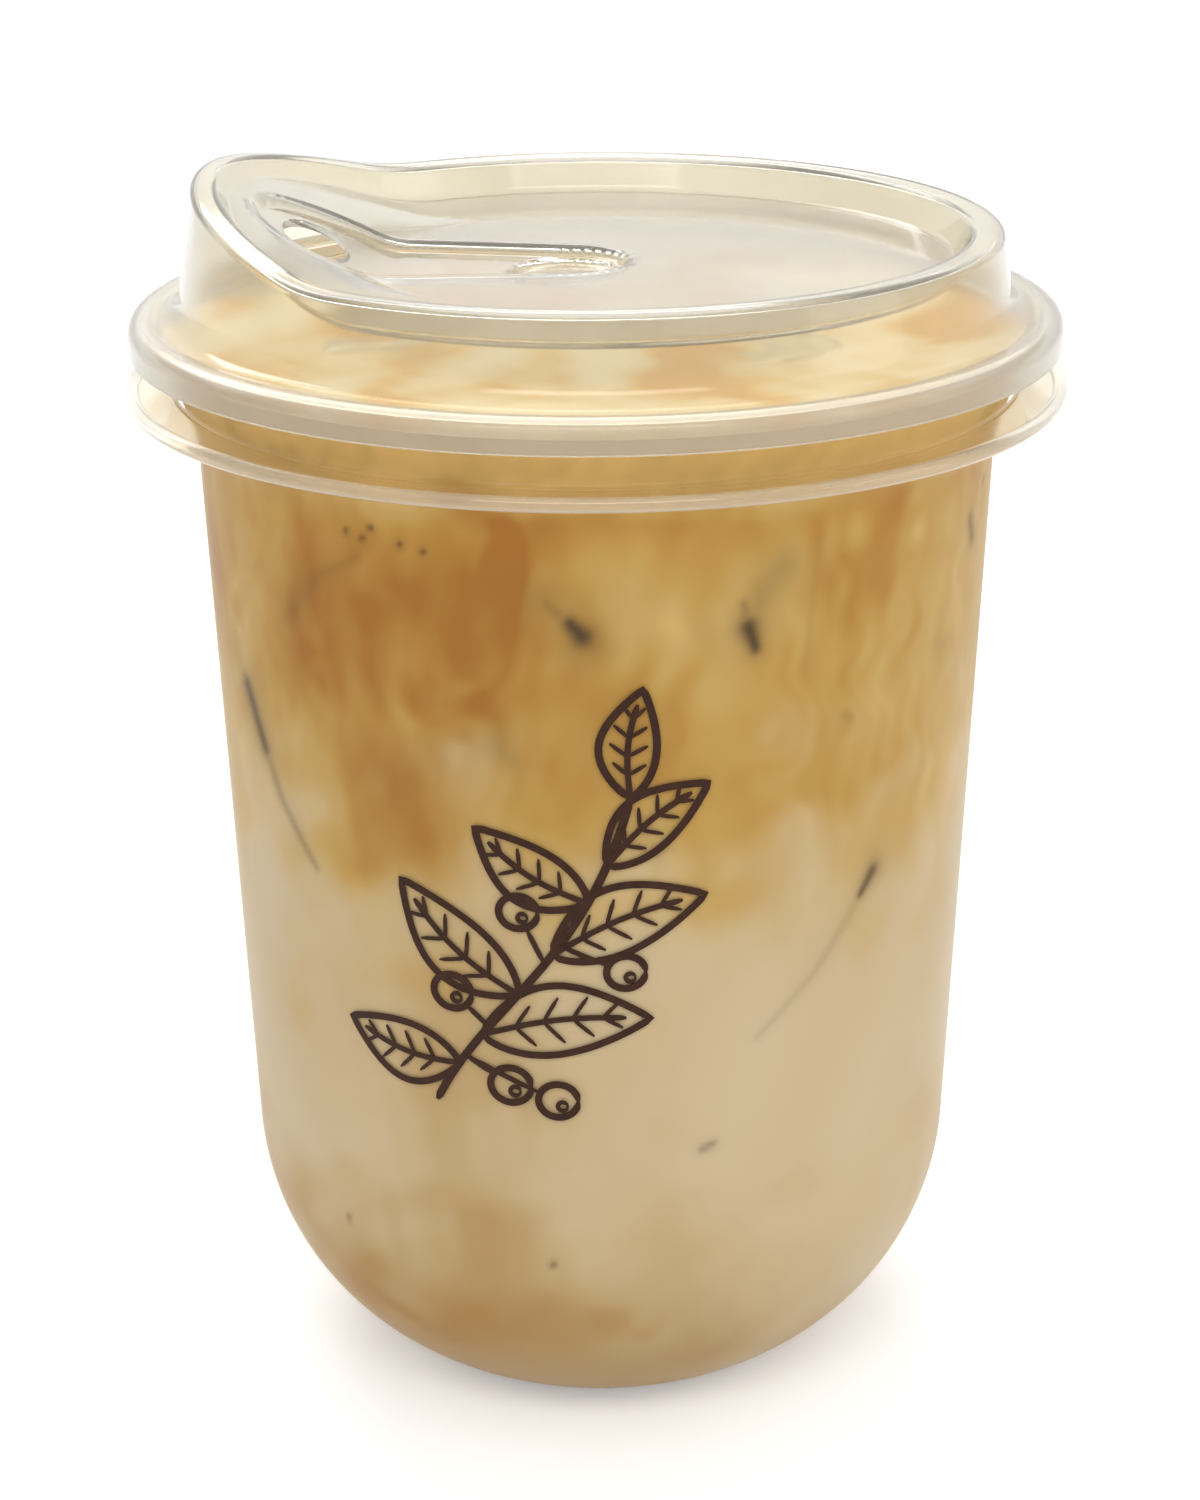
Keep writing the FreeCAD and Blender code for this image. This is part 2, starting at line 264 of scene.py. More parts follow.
def cup_profile():
    """The cup's whole section: up the inside, over the lip and rim, and down the outside to the foot."""
    points = inside_curve(CUP_HEIGHT - LIP_ROUND, CUP_WALL, FOOT_RECESS + CUP_WALL)
    under_z = CUP_HEIGHT - 2 * RIM_BEAD
    points += arc(points[-1] + (LIP_ROUND, 0.0), LIP_ROUND, math.pi, math.pi / 2, 6)
    points += arc((RIM_RADIUS - RIM_BEAD, CUP_HEIGHT - RIM_BEAD), RIM_BEAD, math.pi / 2, 0, 8)
    bead_r = FLANGE_EDGE - FLANGE_BEAD
    bite = math.pi - math.asin(FLANGE_HALF / FLANGE_BEAD)
    top_z, low_z = FLANGE_Z + FLANGE_HALF, FLANGE_Z - FLANGE_HALF
    bead_in = bead_r + FLANGE_BEAD * math.cos(bite)
    points += rounded([(RIM_RADIUS, CUP_HEIGHT - RIM_BEAD), (RIM_RADIUS, under_z),
                       (flare_radius(under_z), under_z), (flare_radius(top_z), top_z),
                       (bead_in, top_z)], [0.2, 0.3, 0.5])
    points += arc((bead_r, FLANGE_Z), FLANGE_BEAD, bite, -bite, 20)
    points += rounded([(bead_in, low_z), (flare_radius(low_z), low_z), (SHOULDER_RADIUS, SHOULDER_Z),
                       CORNER + (CORNER_RADIUS * math.cos(DRAFT), -CORNER_RADIUS * math.sin(DRAFT))],
                      [0.5, OUTER_KNEE])
    points += arc(CORNER, CORNER_RADIUS, -DRAFT, math.asin(-CORNER[1] / CORNER_RADIUS), BOTTOM_STEPS)
    ring_in = FOOT_RADIUS - FOOT_RING
    points += rounded([(FOOT_RADIUS, 0.0), (ring_in, 0.0), (ring_in - FOOT_RECESS, FOOT_RECESS),
                       (0.0, FOOT_RECESS)], [0.3, 0.5])
    return points


def grid_faces(rows, columns):
    """Quads of a grid that closes round its columns; rows run from the first to the last."""
    row, column = np.meshgrid(np.arange(rows - 1), np.arange(columns), indexing="ij")
    after = (column + 1) % columns
    quads = np.stack([row * columns + column, row * columns + after,
                      (row + 1) * columns + after, (row + 1) * columns + column], -1)
    return quads.reshape(-1, 4)


def skin(name, vertices, faces, merge=1e-4):
    """Smooth mesh object from vertices in millimetres, with doubles joined."""
    mesh = bpy.data.meshes.new(name)
    mesh.from_pydata((np.asarray(vertices) * MM).tolist(), [], [tuple(face) for face in faces])
    made = bmesh.new()
    made.from_mesh(mesh)
    bmesh.ops.remove_doubles(made, verts=made.verts, dist=merge * MM)
    bmesh.ops.dissolve_degenerate(made, edges=made.edges, dist=merge * MM)
    bmesh.ops.recalc_face_normals(made, faces=made.faces)
    made.to_mesh(mesh)
    made.free()
    mesh.shade_smooth()
    obj = bpy.data.objects.new(name, mesh)
    scene.collection.objects.link(obj)
    return obj


def turned(name, profile, columns, crowding=0.0):
    """Skin of revolution from (r, z) points that start and end on the axis, its columns closer in front."""
    profile = np.array(profile)
    azimuth = 2 * math.pi * np.arange(columns) / columns
    azimuth = azimuth + 0.5 * math.pi + crowding * np.sin(azimuth)
    r, z = profile[:, :1], profile[:, 1:]
    vertices = np.stack([r * np.cos(azimuth), r * np.sin(azimuth), z + 0 * azimuth], -1).reshape(-1, 3)
    return skin(name, vertices, grid_faces(len(profile), columns))


def new_material(name):
    """A material with its nodes and links."""
    material = bpy.data.materials.new(name)
    material.use_nodes = True
    return material, material.node_tree.nodes, material.node_tree.links


def value_node(nodes, kind, **sockets):
    """Node of a kind with inputs filled by name, spaces written as underscores."""
    node = nodes.new(kind)
    for key, value in sockets.items():
        node.inputs[key.replace("_", " ")].default_value = value
    return node


def moulded_group():
    """Group for moulded clear plastic: faint cloudiness, uneven gloss and a slow waviness of the skin."""
    group = bpy.data.node_groups.new("moulded_plastic", "ShaderNodeTree")
    for name, kind, default in (("Clear Color", "NodeSocketColor", (1, 1, 1, 1)),
                                ("Cloudy Color", "NodeSocketColor", (0.8, 0.8, 0.8, 1)),
                                ("Cloud Size", "NodeSocketFloat", 60.0),
                                ("Roughness Low", "NodeSocketFloat", 0.05),
                                ("Roughness High", "NodeSocketFloat", 0.1),
                                ("Grain Size", "NodeSocketFloat", 1500.0),
                                ("Grain Height", "NodeSocketFloat", 0.00001),
                                ("Wave Height", "NodeSocketFloat", 0.0001)):
        socket = group.interface.new_socket(name=name, in_out="INPUT", socket_type=kind)
        socket.default_value = default
    for name, kind in (("Color", "NodeSocketColor"), ("Roughness", "NodeSocketFloat"),
                       ("Normal", "NodeSocketVector")):
        group.interface.new_socket(name=name, in_out="OUTPUT", socket_type=kind)
    nodes, links = group.nodes, group.links
    given, out = nodes.new("NodeGroupInput"), nodes.new("NodeGroupOutput")
    place = nodes.new("ShaderNodeTexCoord")
    clouds = value_node(nodes, "ShaderNodeTexNoise", Detail=3.0, Roughness=0.6)
    links.new(place.outputs["Object"], clouds.inputs["Vector"])
    links.new(given.outputs["Cloud Size"], clouds.inputs["Scale"])
    tint = nodes.new("ShaderNodeMix")
    tint.data_type = "RGBA"
    links.new(clouds.outputs["Fac"], tint.inputs[0])
    links.new(given.outputs["Clear Color"], tint.inputs[6])
    links.new(given.outputs["Cloudy Color"], tint.inputs[7])
    links.new(tint.outputs[2], out.inputs["Color"])
    gloss = nodes.new("ShaderNodeMapRange")
    links.new(clouds.outputs["Fac"], gloss.inputs["Value"])
    links.new(given.outputs["Roughness Low"], gloss.inputs["To Min"])
    links.new(given.outputs["Roughness High"], gloss.inputs["To Max"])
    links.new(gloss.outputs["Result"], out.inputs["Roughness"])
    grain = value_node(nodes, "ShaderNodeTexNoise", Detail=2.0)
    links.new(place.outputs["Object"], grain.inputs["Vector"])
    links.new(given.outputs["Grain Size"], grain.inputs["Scale"])
    fine = nodes.new("ShaderNodeBump")
    links.new(grain.outputs["Fac"], fine.inputs["Height"])
    links.new(given.outputs["Grain Height"], fine.inputs["Distance"])
    wave = value_node(nodes, "ShaderNodeTexNoise", Scale=45.0, Detail=0.0)
    links.new(place.outputs["Object"], wave.inputs["Vector"])
    slow = nodes.new("ShaderNodeBump")
    links.new(wave.outputs["Fac"], slow.inputs["Height"])
    links.new(given.outputs["Wave Height"], slow.inputs["Distance"])
    links.new(fine.outputs["Normal"], slow.inputs["Normal"])
    links.new(slow.outputs["Normal"], out.inputs["Normal"])
    return group


MOULDED = moulded_group()


COAT_ROUGHNESS = 0.07
LIGHT_LET_BY = (0.98, 0.96, 0.92, 1)


def plastic(name, transmission, gloss, bends=1.49, coat=0.0, **looks):
    """Plastic from the moulded group and one Principled shader; where clear, it lets lamp light by."""
    material, nodes, links = new_material(name)
    shader = nodes["Principled BSDF"]
    shader.inputs["IOR"].default_value = bends
    shader.inputs["Coat Weight"].default_value = coat
    shader.inputs["Coat Roughness"].default_value = COAT_ROUGHNESS
    shader.inputs["Transmission Weight"].default_value = transmission
    shader.inputs["Specular IOR Level"].default_value = gloss
    if transmission > 0:
        passing = nodes.new("ShaderNodeBsdfTransparent")
        passing.inputs["Color"].default_value = LIGHT_LET_BY
        blend = nodes.new("ShaderNodeMixShader")
        links.new(nodes.new("ShaderNodeLightPath").outputs["Is Shadow Ray"], blend.inputs["Fac"])
        links.new(shader.outputs["BSDF"], blend.inputs[1])
        links.new(passing.outputs["BSDF"], blend.inputs[2])
        links.new(blend.outputs["Shader"], nodes["Material Output"].inputs["Surface"])
    finish = nodes.new("ShaderNodeGroup")
    finish.node_tree = MOULDED
    for key, value in looks.items():
        finish.inputs[key.replace("_", " ")].default_value = value
    links.new(finish.outputs["Color"], shader.inputs["Base Color"])
    links.new(finish.outputs["Roughness"], shader.inputs["Roughness"])
    links.new(finish.outputs["Normal"], shader.inputs["Normal"])
    return material


WALL_HAZE = 0.06
FLANGE_ROOT = 0.15
LIQUID_Z = CUP_HEIGHT - 1.7
cup = turned("cup", cup_profile(), CUP_COLUMNS)
wall_plastic = plastic(
    "frosted_wall", 0.0, 0.06,
    Clear_Color=(0.60, 0.45, 0.24, 1), Cloudy_Color=(0.66, 0.53, 0.33, 1),
    Roughness_Low=0.40, Roughness_High=0.50, Grain_Size=2500.0, Grain_Height=0.000004, Wave_Height=0.0)
wall_plastic.node_tree.nodes["Principled BSDF"].inputs["Alpha"].default_value = WALL_HAZE
cup.data.materials.append(wall_plastic)
cup.data.materials.append(plastic(
    "clear_rim", 0.93, 0.9, 1.25, 0.4,
    Clear_Color=(0.86, 0.78, 0.62, 1), Cloudy_Color=(0.76, 0.67, 0.50, 1),
    Roughness_Low=0.10, Roughness_High=0.16, Grain_Size=2500.0, Grain_Height=0.000002, Wave_Height=0.0))
cup.data.materials.append(plastic(
    "milky_bead_highlight", 0.80, 1.0, 1.3, 0.5,
    Clear_Color=(0.88, 0.85, 0.77, 1), Cloudy_Color=(0.80, 0.76, 0.66, 1),
    Roughness_Low=0.14, Roughness_High=0.22, Grain_Size=2500.0, Grain_Height=0.000002, Wave_Height=0.0))
# haze on the wall, clear rim above the drink and clear flange, and a milkier bead at the flange's edge,
# partly its own whitish plastic and partly a painted highlight along the edge
for face in cup.data.polygons:
    at_z = face.center.z / MM
    out = math.hypot(face.center.x, face.center.y) / MM
    on_flange = at_z > SHOULDER_Z and out > flare_radius(at_z) + FLANGE_ROOT
    face.material_index = int(at_z > LIQUID_Z or on_flange)
    if out > FLANGE_EDGE - 2 * FLANGE_BEAD:
        face.material_index = 2
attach(cup, "root")
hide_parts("cup")

# ---------------------------------------------------------------- drink
# Milk and coffee poured over ice and half mixed: pale milk below, brown coffee above, in soft
# clouds and streaks against the wall.  A turned body that reaches just into the cup's wall, with
# shares of coffee, shade and foam laid on its skin point by point.
DRINK_COLUMNS = 440
FRONT_CROWDING = 0.38
TOP_RINGS = 46
FINE_STEP = 0.62
COARSE_STEP = 1.3
FINE_FROM_Z = 38.0
GRAIN_RADIUS = 0.42
WAVES = 12
WAVE_HEIGHT = 0.7
CORE_DEPTH = 0.72
HALO_DEPTH = 0.28
HALO_WIDTH = 2.6
SKIN_RADIUS = 40.0
INTO_WALL = 0.55
# painted light: the coffee share falls away above 104 mm, painting the neck paler against the shade of the
# flange and the lid's skirt
LAYER_HEIGHTS = (0, 8, 14, 20, 27, 34, 42, 52, 62, 72, 82, 92, 100, 104, 106, 108, 113)
LAYER_COFFEE = (
    0.60, 0.57, 0.53, 0.44, 0.29, 0.15, 0.12, 0.14, 0.22, 0.34, 0.46, 0.52, 0.58, 0.56, 0.36, 0.06, 0.0)
# clouds of coffee and of milk: azimuth, height, half width and half height in mm, share of coffee
CLOUDS = (
    (232, 91, 9, 6, 0.36), (226, 86, 5, 6, 0.18), (241, 98, 10, 5, 0.32), (246, 82, 7, 12, 0.26),
    (236, 76, 6, 7, 0.12), (257, 99, 2.4, 7.5, 0.55), (252, 90, 4, 9, 0.24), (261, 104, 8, 3.5, 0.30),
    (307, 95, 3.6, 10, 0.28), (299, 96, 5, 8, -0.10), (311, 105, 6, 3, 0.25), (315, 90, 6, 11, -0.15),
    (307, 77, 7, 4, 0.18), (318, 92, 4, 7, -0.06), (284, 93, 10, 7, -0.16), (275, 97, 6, 5, -0.06),
    (208, 72, 8, 11, -0.22), (222, 68, 7, 7, -0.10), (200, 96, 8, 9, 0.06), (336, 80, 14, 20, -0.12),
    (330, 96, 10, 6, -0.08), (292, 75, 5, 2.5, 0.10), (240, 17, 17, 6, 0.22), (224, 14, 9, 5, 0.12),
    (271, 18, 3.2, 2.6, 0.16), (316, 16, 18, 13, -0.34), (298, 38, 16, 12, -0.05),
    (250, 32, 10, 4, -0.05), (213, 36, 12, 10, -0.05), (256, 44, 12, 6, 0.06), (310, 60, 6, 10, 0.04),
    (262, 79, 4, 3, 0.08), (265, 89, 8, 7, 0.26), (286, 89, 9, 5, 0.10), (239, 73, 7, 6, 0.26),
    (248, 50, 9, 14, 0.32), (250, 30, 9, 8, 0.28), (221, 105, 6, 3, -0.16), (10, 88, 9, 9, 0.30),
    (34, 98, 7, 6, 0.25), (62, 84, 10, 12, 0.34), (58, 60, 6, 9, -0.14), (95, 97, 11, 6, 0.32),
    (112, 80, 6, 11, 0.26), (138, 92, 9, 8, 0.20), (150, 70, 9, 9, -0.16), (20, 62, 9, 9, -0.12),
    (84, 20, 16, 6, 0.20), (160, 24, 12, 7, 0.10), (30, 28, 14, 6, -0.10), (172, 99, 8, 6, 0.18),
    (128, 46, 9, 8, 0.06))
# painted shade where ice touches the wall, as dark marks: points of azimuth and height, half width at both
# ends, depth
ICE_SHADE_MARKS = (
    (((266.4, 94.5), (268.0, 93.2)), 0.7, 1.1, 1.0), (((263.4, 96.4), (266.6, 94.3)), 0.5, 1.0, 0.42),
    (((262.6, 96.8), (267.6, 93.8)), 1.8, 2.2, 0.20), (((268.0, 93.2), (269.8, 91.8)), 0.6, 0.25, 0.45),
    (((289.6, 95.6), (290.3, 93.2)), 0.5, 1.0, 0.50), (((290.3, 93.2), (291.4, 91.0)), 1.05, 0.6, 1.0),
    (((290.6, 93.8), (292.4, 96.6), (295.2, 98.8)), 1.5, 1.7, 0.30),
    (((288.0, 91.0), (285.5, 93.5)), 0.8, 1.4, 0.10), (((335.0, 97.4), (336.8, 95.0)), 0.5, 0.7, 0.65),
    (((209.0, 81.2), (210.6, 79.2), (213.4, 75.4)), 1.1, 0.9, 0.88),
    (((213.4, 75.4), (217.2, 70.6), (224.6, 64.8)), 0.75, 0.35, 0.45),
    (((311.0, 62.4), (313.4, 64.6)), 0.45, 0.85, 0.85),
    (((310.4, 61.8), (303.0, 55.5), (293.5, 49.8)), 0.7, 0.4, 0.20),
    (((285.2, 38.2), (286.8, 38.5)), 0.35, 0.35, 0.55), (((277.8, 71.0), (279.0, 71.6)), 0.4, 0.4, 0.4),
    (((222.6, 91.0), (229.0, 96.2), (236.6, 99.0)), 1.2, 0.4, 0.22),
    (((223.0, 92.0), (225.6, 94.4)), 1.6, 1.6, 0.12), (((256.0, 82.0), (258.4, 80.4)), 1.6, 1.0, 0.24),
    (((306.4, 82.4), (307.2, 81.8)), 0.5, 0.5, 0.25), (((326.0, 86.2), (328.0, 85.4)), 0.8, 0.8, 0.14),
    (((300.4, 101.0), (300.0, 96.0), (299.0, 88.0)), 0.5, 0.3, 0.13),
    (((44.0, 90.0), (47.0, 86.5)), 0.35, 0.8, 0.8),
    (((80.0, 72.0), (84.0, 66.0), (90.0, 62.0)), 0.7, 0.3, 0.5),
    (((124.0, 93.0), (126.5, 95.0)), 0.8, 0.35, 0.85), (((150.0, 58.0), (151.6, 56.4)), 0.6, 0.4, 0.5),
    (((14.0, 74.0), (10.0, 69.0)), 0.7, 0.3, 0.45), (((101.0, 84.0), (102.0, 81.0)), 0.7, 0.4, 0.7),
    (((60.0, 99.0), (68.0, 97.0), (74.0, 92.0)), 0.4, 0.8, 0.25),
    (((128.0, 70.0), (121.0, 63.0)), 0.4, 0.8, 0.3))
# grains of coffee under the neck: azimuth and height
GRAINS = (
    (235.0, 101.4), (237.6, 101.0), (243.4, 101.0), (246.8, 100.6), (239.0, 102.2), (226.0, 25.0),
    (262.5, 25.5), (52.0, 101.0), (57.0, 100.4), (118.0, 101.6), (341.0, 100.2))


def wander(points, size, seed):
    """Smooth noise of about -1 to 1 at points in mm: sines in seeded directions, about size mm long."""
    random = np.random.default_rng(seed)
    total = np.zeros(len(points))
    for _ in range(WAVES):
        direction = random.normal(size=3)
        direction *= 2 * math.pi / (size * random.uniform(0.7, 1.6) * np.linalg.norm(direction))
        total += np.sin(points @ direction + random.uniform(0, 2 * math.pi))
    return total * (2.0 / WAVES) ** 0.5 * WAVE_HEIGHT


def smooth(t):
    """Soft step from 0 to 1."""
    t = np.clip(t, 0.0, 1.0)
    return t * t * t * (t * (6 * t - 15) + 10)


def off_azimuth(azimuth, middle):
    """Signed degrees from a middle azimuth, the short way round."""
    return (azimuth - middle + 180.0) % 360.0 - 180.0


def to_mark(across, height, points, start, end):
    """Distance on the cup's skin to a line of azimuths and heights, over its tapering half width."""
    steps = [(math.radians(b[0] - a[0]) * SKIN_RADIUS, b[1] - a[1]) for a, b in zip(points, points[1:])]
    lengths = [math.hypot(dx, dy) for dx, dy in steps]
    gone = 0.0
    nearest = np.full(len(across), 1e9)
    for (a0, z0), (dx, dy), length in zip(points, steps, lengths):
        x = np.radians(off_azimuth(across, a0)) * SKIN_RADIUS
        y = height - z0
        t = np.clip((x * dx + y * dy) / length ** 2, 0, 1)
        half_width = start + (end - start) * (gone + t * length) / sum(lengths)
        nearest = np.minimum(nearest, np.hypot(x - t * dx, y - t * dy) / half_width)
        gone += length
    return nearest


def drink_profile():
    """The drink's section: the cup's inside a little into its wall, in short steps, and the level top."""
    points = inside_curve(LIQUID_Z, CUP_WALL - INTO_WALL, FOOT_RECESS + CUP_WALL - INTO_WALL)
    spaced_out = [points[0]]
    for before, after in zip(points, points[1:]):
        longest = FINE_STEP if before[1] > FINE_FROM_Z else COARSE_STEP
        pieces = max(1, math.ceil(np.hypot(*(after - before)) / longest))
        spaced_out += [before + (after - before) * i / pieces for i in range(1, pieces + 1)]
    edge = spaced_out[-1][0]
    return spaced_out + [np.array((r, LIQUID_Z)) for r in np.linspace(edge, 0.0, TOP_RINGS)[1:]]


drink = turned("drink", drink_profile(), DRINK_COLUMNS, FRONT_CROWDING)
points = np.array([v.co for v in drink.data.vertices]) / MM
azimuth = np.degrees(np.arctan2(points[:, 1], points[:, 0])) % 360.0
radius = np.hypot(points[:, 0], points[:, 1])
height = points[:, 2]
# share of coffee: level layers stirred by slow drifts, calmer at the neck, then clouds and fine streaks
stretched = points * (1.0, 1.0, 0.45)
drift_a = np.degrees((wander(stretched, 9.0, 3) * 1.7 + wander(stretched, 3.4, 4) * 1.1) / SKIN_RADIUS)
drift_z = wander(points, 14.0, 5) * 2.2 + wander(points, 5.0, 6) * 0.8
calm = 1.0 - 0.7 * smooth((height - 98.0) / 8.0)
coffee = np.interp(height + 2.0 * calm * drift_z, LAYER_HEIGHTS, LAYER_COFFEE)
for middle, at_z, half_width, half_height, share in CLOUDS:
    x = np.radians(off_azimuth(azimuth + drift_a, middle)) * SKIN_RADIUS / half_width
    y = (height + drift_z - at_z) / half_height
    coffee += share * np.exp(-(x * x + y * y) ** 1.4)
upper = np.clip((height - 55.0) / 30.0, 0, 1)
coffee += (0.05 + 0.05 * upper) * wander(stretched, 11.0, 8) + 0.04 * upper * wander(stretched, 3.0, 9)
coffee += 0.07 * upper * wander((points + 0.6 * drift_z[:, None]) * (1.0, 1.0, 0.14), 3.4, 10)
# painted shade: a dark core and a soft halo for each mark where ice touches the wall; the grains of coffee
# are their own dark colour
shade_and_grains = np.zeros(len(points))
for line, start, end, depth in ICE_SHADE_MARKS:
    near = to_mark(azimuth, height, line, start, end)
    depth_here = CORE_DEPTH * np.exp(-near ** 2) + HALO_DEPTH * np.exp(-(near / HALO_WIDTH) ** 2)
    shade_and_grains = np.maximum(shade_and_grains, depth * depth_here)
for at_azimuth, at_height in GRAINS:
    across = np.radians(off_azimuth(azimuth, at_azimuth)) * SKIN_RADIUS
    near = np.hypot(across, height - at_height) / GRAIN_RADIUS
    shade_and_grains = np.maximum(shade_and_grains, 0.8 * np.exp(-near ** 2))
# the open top: paler foam with golden swirls, greyer behind a thin wavy brown edge, and painted shade
# towards the middle under the lid
top = (height > LIQUID_Z - 0.01).astype(float)
flat = points * (1.0, 1.0, 0.0)
stirred = flat + 4.0 * np.stack([wander(flat, 22.0, 12), wander(flat, 22.0, 13), 0 * height], 1)
swirl = wander(stirred, 13.0, 14)
foam = np.clip(0.5 + 0.55 * swirl + 0.12 * wander(flat, 4.5, 15), 0, 1)
edge_y = 27.0 - 0.006 * (points[:, 0] - 6.0) ** 2 + 5.0 * wander(flat, 20.0, 16)
behind = 0.85 * smooth((points[:, 1] - edge_y) / 9.0)
band = np.exp(-((points[:, 1] - edge_y) / 2.2) ** 2) * np.clip((points[:, 0] + 6.0) / 8.0, 0, 1)
coffee = np.where(top > 0.5, foam, coffee)
# painted shade: the top darker towards its middle, where the lid keeps light off it
middle_shade = 0.16 * smooth((30.0 - radius) / 10.0)
shade_and_grains = np.where(top > 0.5, np.maximum(0.35 * band, middle_shade), shade_and_grains)
milkiness = smooth((84.0 - height - 3.0 * drift_z) / 32.0)
for channel, amount in (("coffee", coffee), ("shade_and_grains", shade_and_grains), ("top", top), ("behind", behind * top),
                        ("milkiness", milkiness)):
    layer = drink.data.attributes.new(channel, "FLOAT", "POINT")
    layer.data.foreach_set("value", np.clip(amount, 0, 1).astype(np.float32))
drink_material, nodes, links = new_material("milk_coffee")
shader = nodes["Principled BSDF"]
shader.inputs["Roughness"].default_value = 0.35
shader.inputs["Specular IOR Level"].default_value = 0.08


def painted(nodes, name):
    """A layer laid on the drink's skin, by name."""
    node = nodes.new("ShaderNodeAttribute")
    node.attribute_name = name
    return node.outputs["Fac"]


def ramp(nodes, links, value, stops):
    """Colour ramp of linear colours fed by a value."""
    node = nodes.new("ShaderNodeValToRGB")
    elements = node.color_ramp.elements
    while len(elements) < len(stops):
        elements.new(0.5)
    for element, (position, color) in zip(elements, stops):
        element.position = position
        element.color = (*color, 1)
    links.new(value, node.inputs["Fac"])
    return node.outputs["Color"]


def mixed(nodes, links, factor, first, second):
    """Mix of two colours, each a socket or a plain colour."""
    node = nodes.new("ShaderNodeMix")
    node.data_type = "RGBA"
    links.new(factor, node.inputs["Factor"])
    for key, value in (("A", first), ("B", second)):
        socket = [i for i in node.inputs if i.name == key and i.type == "RGBA"][0]
        if isinstance(value, tuple):
            socket.default_value = (*value, 1)
        else:
            links.new(value, socket)
    return [o for o in node.outputs if o.type == "RGBA"][0]


high_color = ramp(nodes, links, painted(nodes, "coffee"), (
    (0.0, (0.650, 0.420, 0.145)), (0.25, (0.525, 0.345, 0.108)), (0.5, (0.475, 0.280, 0.066)),
    (0.75, (0.410, 0.206, 0.036)), (1.0, (0.345, 0.135, 0.014))))
low_color = ramp(nodes, links, painted(nodes, "coffee"), (
    (0.0, (0.600, 0.485, 0.315)), (0.25, (0.550, 0.415, 0.230)), (0.5, (0.475, 0.322, 0.145)),
    (0.75, (0.400, 0.220, 0.062)), (1.0, (0.305, 0.145, 0.030))))
side_color = mixed(nodes, links, painted(nodes, "milkiness"), high_color, low_color)
top_color = ramp(nodes, links, painted(nodes, "coffee"), (
    (0.0, (0.90, 0.79, 0.56)), (0.45, (0.84, 0.68, 0.39)), (0.75, (0.80, 0.56, 0.22)),
    (1.0, (0.74, 0.45, 0.12))))
back_color = mixed(nodes, links, painted(nodes, "behind"), top_color, (0.56, 0.51, 0.39))
skin_color = mixed(nodes, links, painted(nodes, "top"), side_color, back_color)
# painted shade: the skin darkened towards near black by the shade layer, which also carries the real grains
# of coffee
with_shade_and_grains = mixed(nodes, links, painted(nodes, "shade_and_grains"), skin_color, (0.050, 0.024, 0.011))
links.new(with_shade_and_grains, shader.inputs["Base Color"])
drink.data.materials.append(drink_material)
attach(drink, "root")
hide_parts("drink")

# ---------------------------------------------------------------- ice
# Half melted cubes of clear ice with rounded, hollowed faces, frozen in a tray and sunk in the drink.
# Some lie flat along the wall behind a film of milk, and a few stand a little out of the drink's top.
ICE_HALF = 11.0
ICE_STEPS = 14
ICE_FILM = 0.15
ICE_SQUARENESS = 7
ICE_HOLLOW = 0.05
ICE_SWELLS = 0.025
ICE_DENTS = 0.012
ICE_SIDES = (1.0, 0.92, 0.88)
# blocks: azimuth, distance from the axis, height, in mm, and turns about Z and about a level axis
ICE = (
    (284, 29, 94, 12, 8), (210, 28, 74, -18, 22), (246, 27, 78, 30, -14), (322, 27, 80, -25, 30),
    (184, 22, 103.2, 16, 5), (330, 16, 103.6, -22, 4), (78, 26, 103.0, 34, -6), (20, 28, 90, 8, 24),
    (56, 28, 72, -30, 12), (104, 28, 88, 20, -20), (142, 28, 76, -8, 28), (160, 27, 52, 26, 10),
    (302, 26, 56, -14, -24), (36, 26, 48, 24, 18))


def ice_block(middle_azimuth, out, height, turn, tilt, seed):
    """Vertices and faces of one cube whose corners are melted round and whose faces are hollowed."""
    ticks = np.linspace(-1.0, 1.0, ICE_STEPS + 1)
    u, v = np.meshgrid(ticks, ticks, indexing="ij")
    sides = []
    for axis in range(3):
        for end in (-1.0, 1.0):
            side = np.empty(u.shape + (3,))
            side[..., axis] = end
            side[..., (axis + 1) % 3] = u if end > 0 else v
            side[..., (axis + 2) % 3] = v if end > 0 else u
            sides.append(side.reshape(-1, 3))
    block = np.concatenate(sides)
    hollow = ICE_HOLLOW * np.exp(-3.0 * (np.sort(np.abs(block), 1)[:, :2] ** 2).sum(1))
    roundness = (np.abs(block) ** ICE_SQUARENESS).sum(1) ** (1 / ICE_SQUARENESS)
    block = block / roundness[:, None] * (1 - hollow)[:, None]
    block = block * ICE_HALF * ICE_SIDES
    uneven = 1 + ICE_SWELLS * wander(block, 9.0, seed) + ICE_DENTS * wander(block, 4.0, seed + 50)
    block = block * uneven[:, None]
    spin = Matrix.Rotation(math.radians(middle_azimuth + turn), 3, "Z")
    spin = spin @ Matrix.Rotation(math.radians(tilt), 3, "X")
    block = block @ np.array(spin).T
    angle = math.radians(middle_azimuth)
    block = block + (out * math.cos(angle), out * math.sin(angle), height)
    row, column = np.meshgrid(np.arange(ICE_STEPS), np.arange(ICE_STEPS), indexing="ij")
    row, column = row.reshape(-1), column.reshape(-1)
    width = ICE_STEPS + 1
    face = np.stack([row * width + column, (row + 1) * width + column,
                     (row + 1) * width + column + 1, row * width + column + 1], -1)
    return block, np.concatenate([face + i * width * width for i in range(6)])


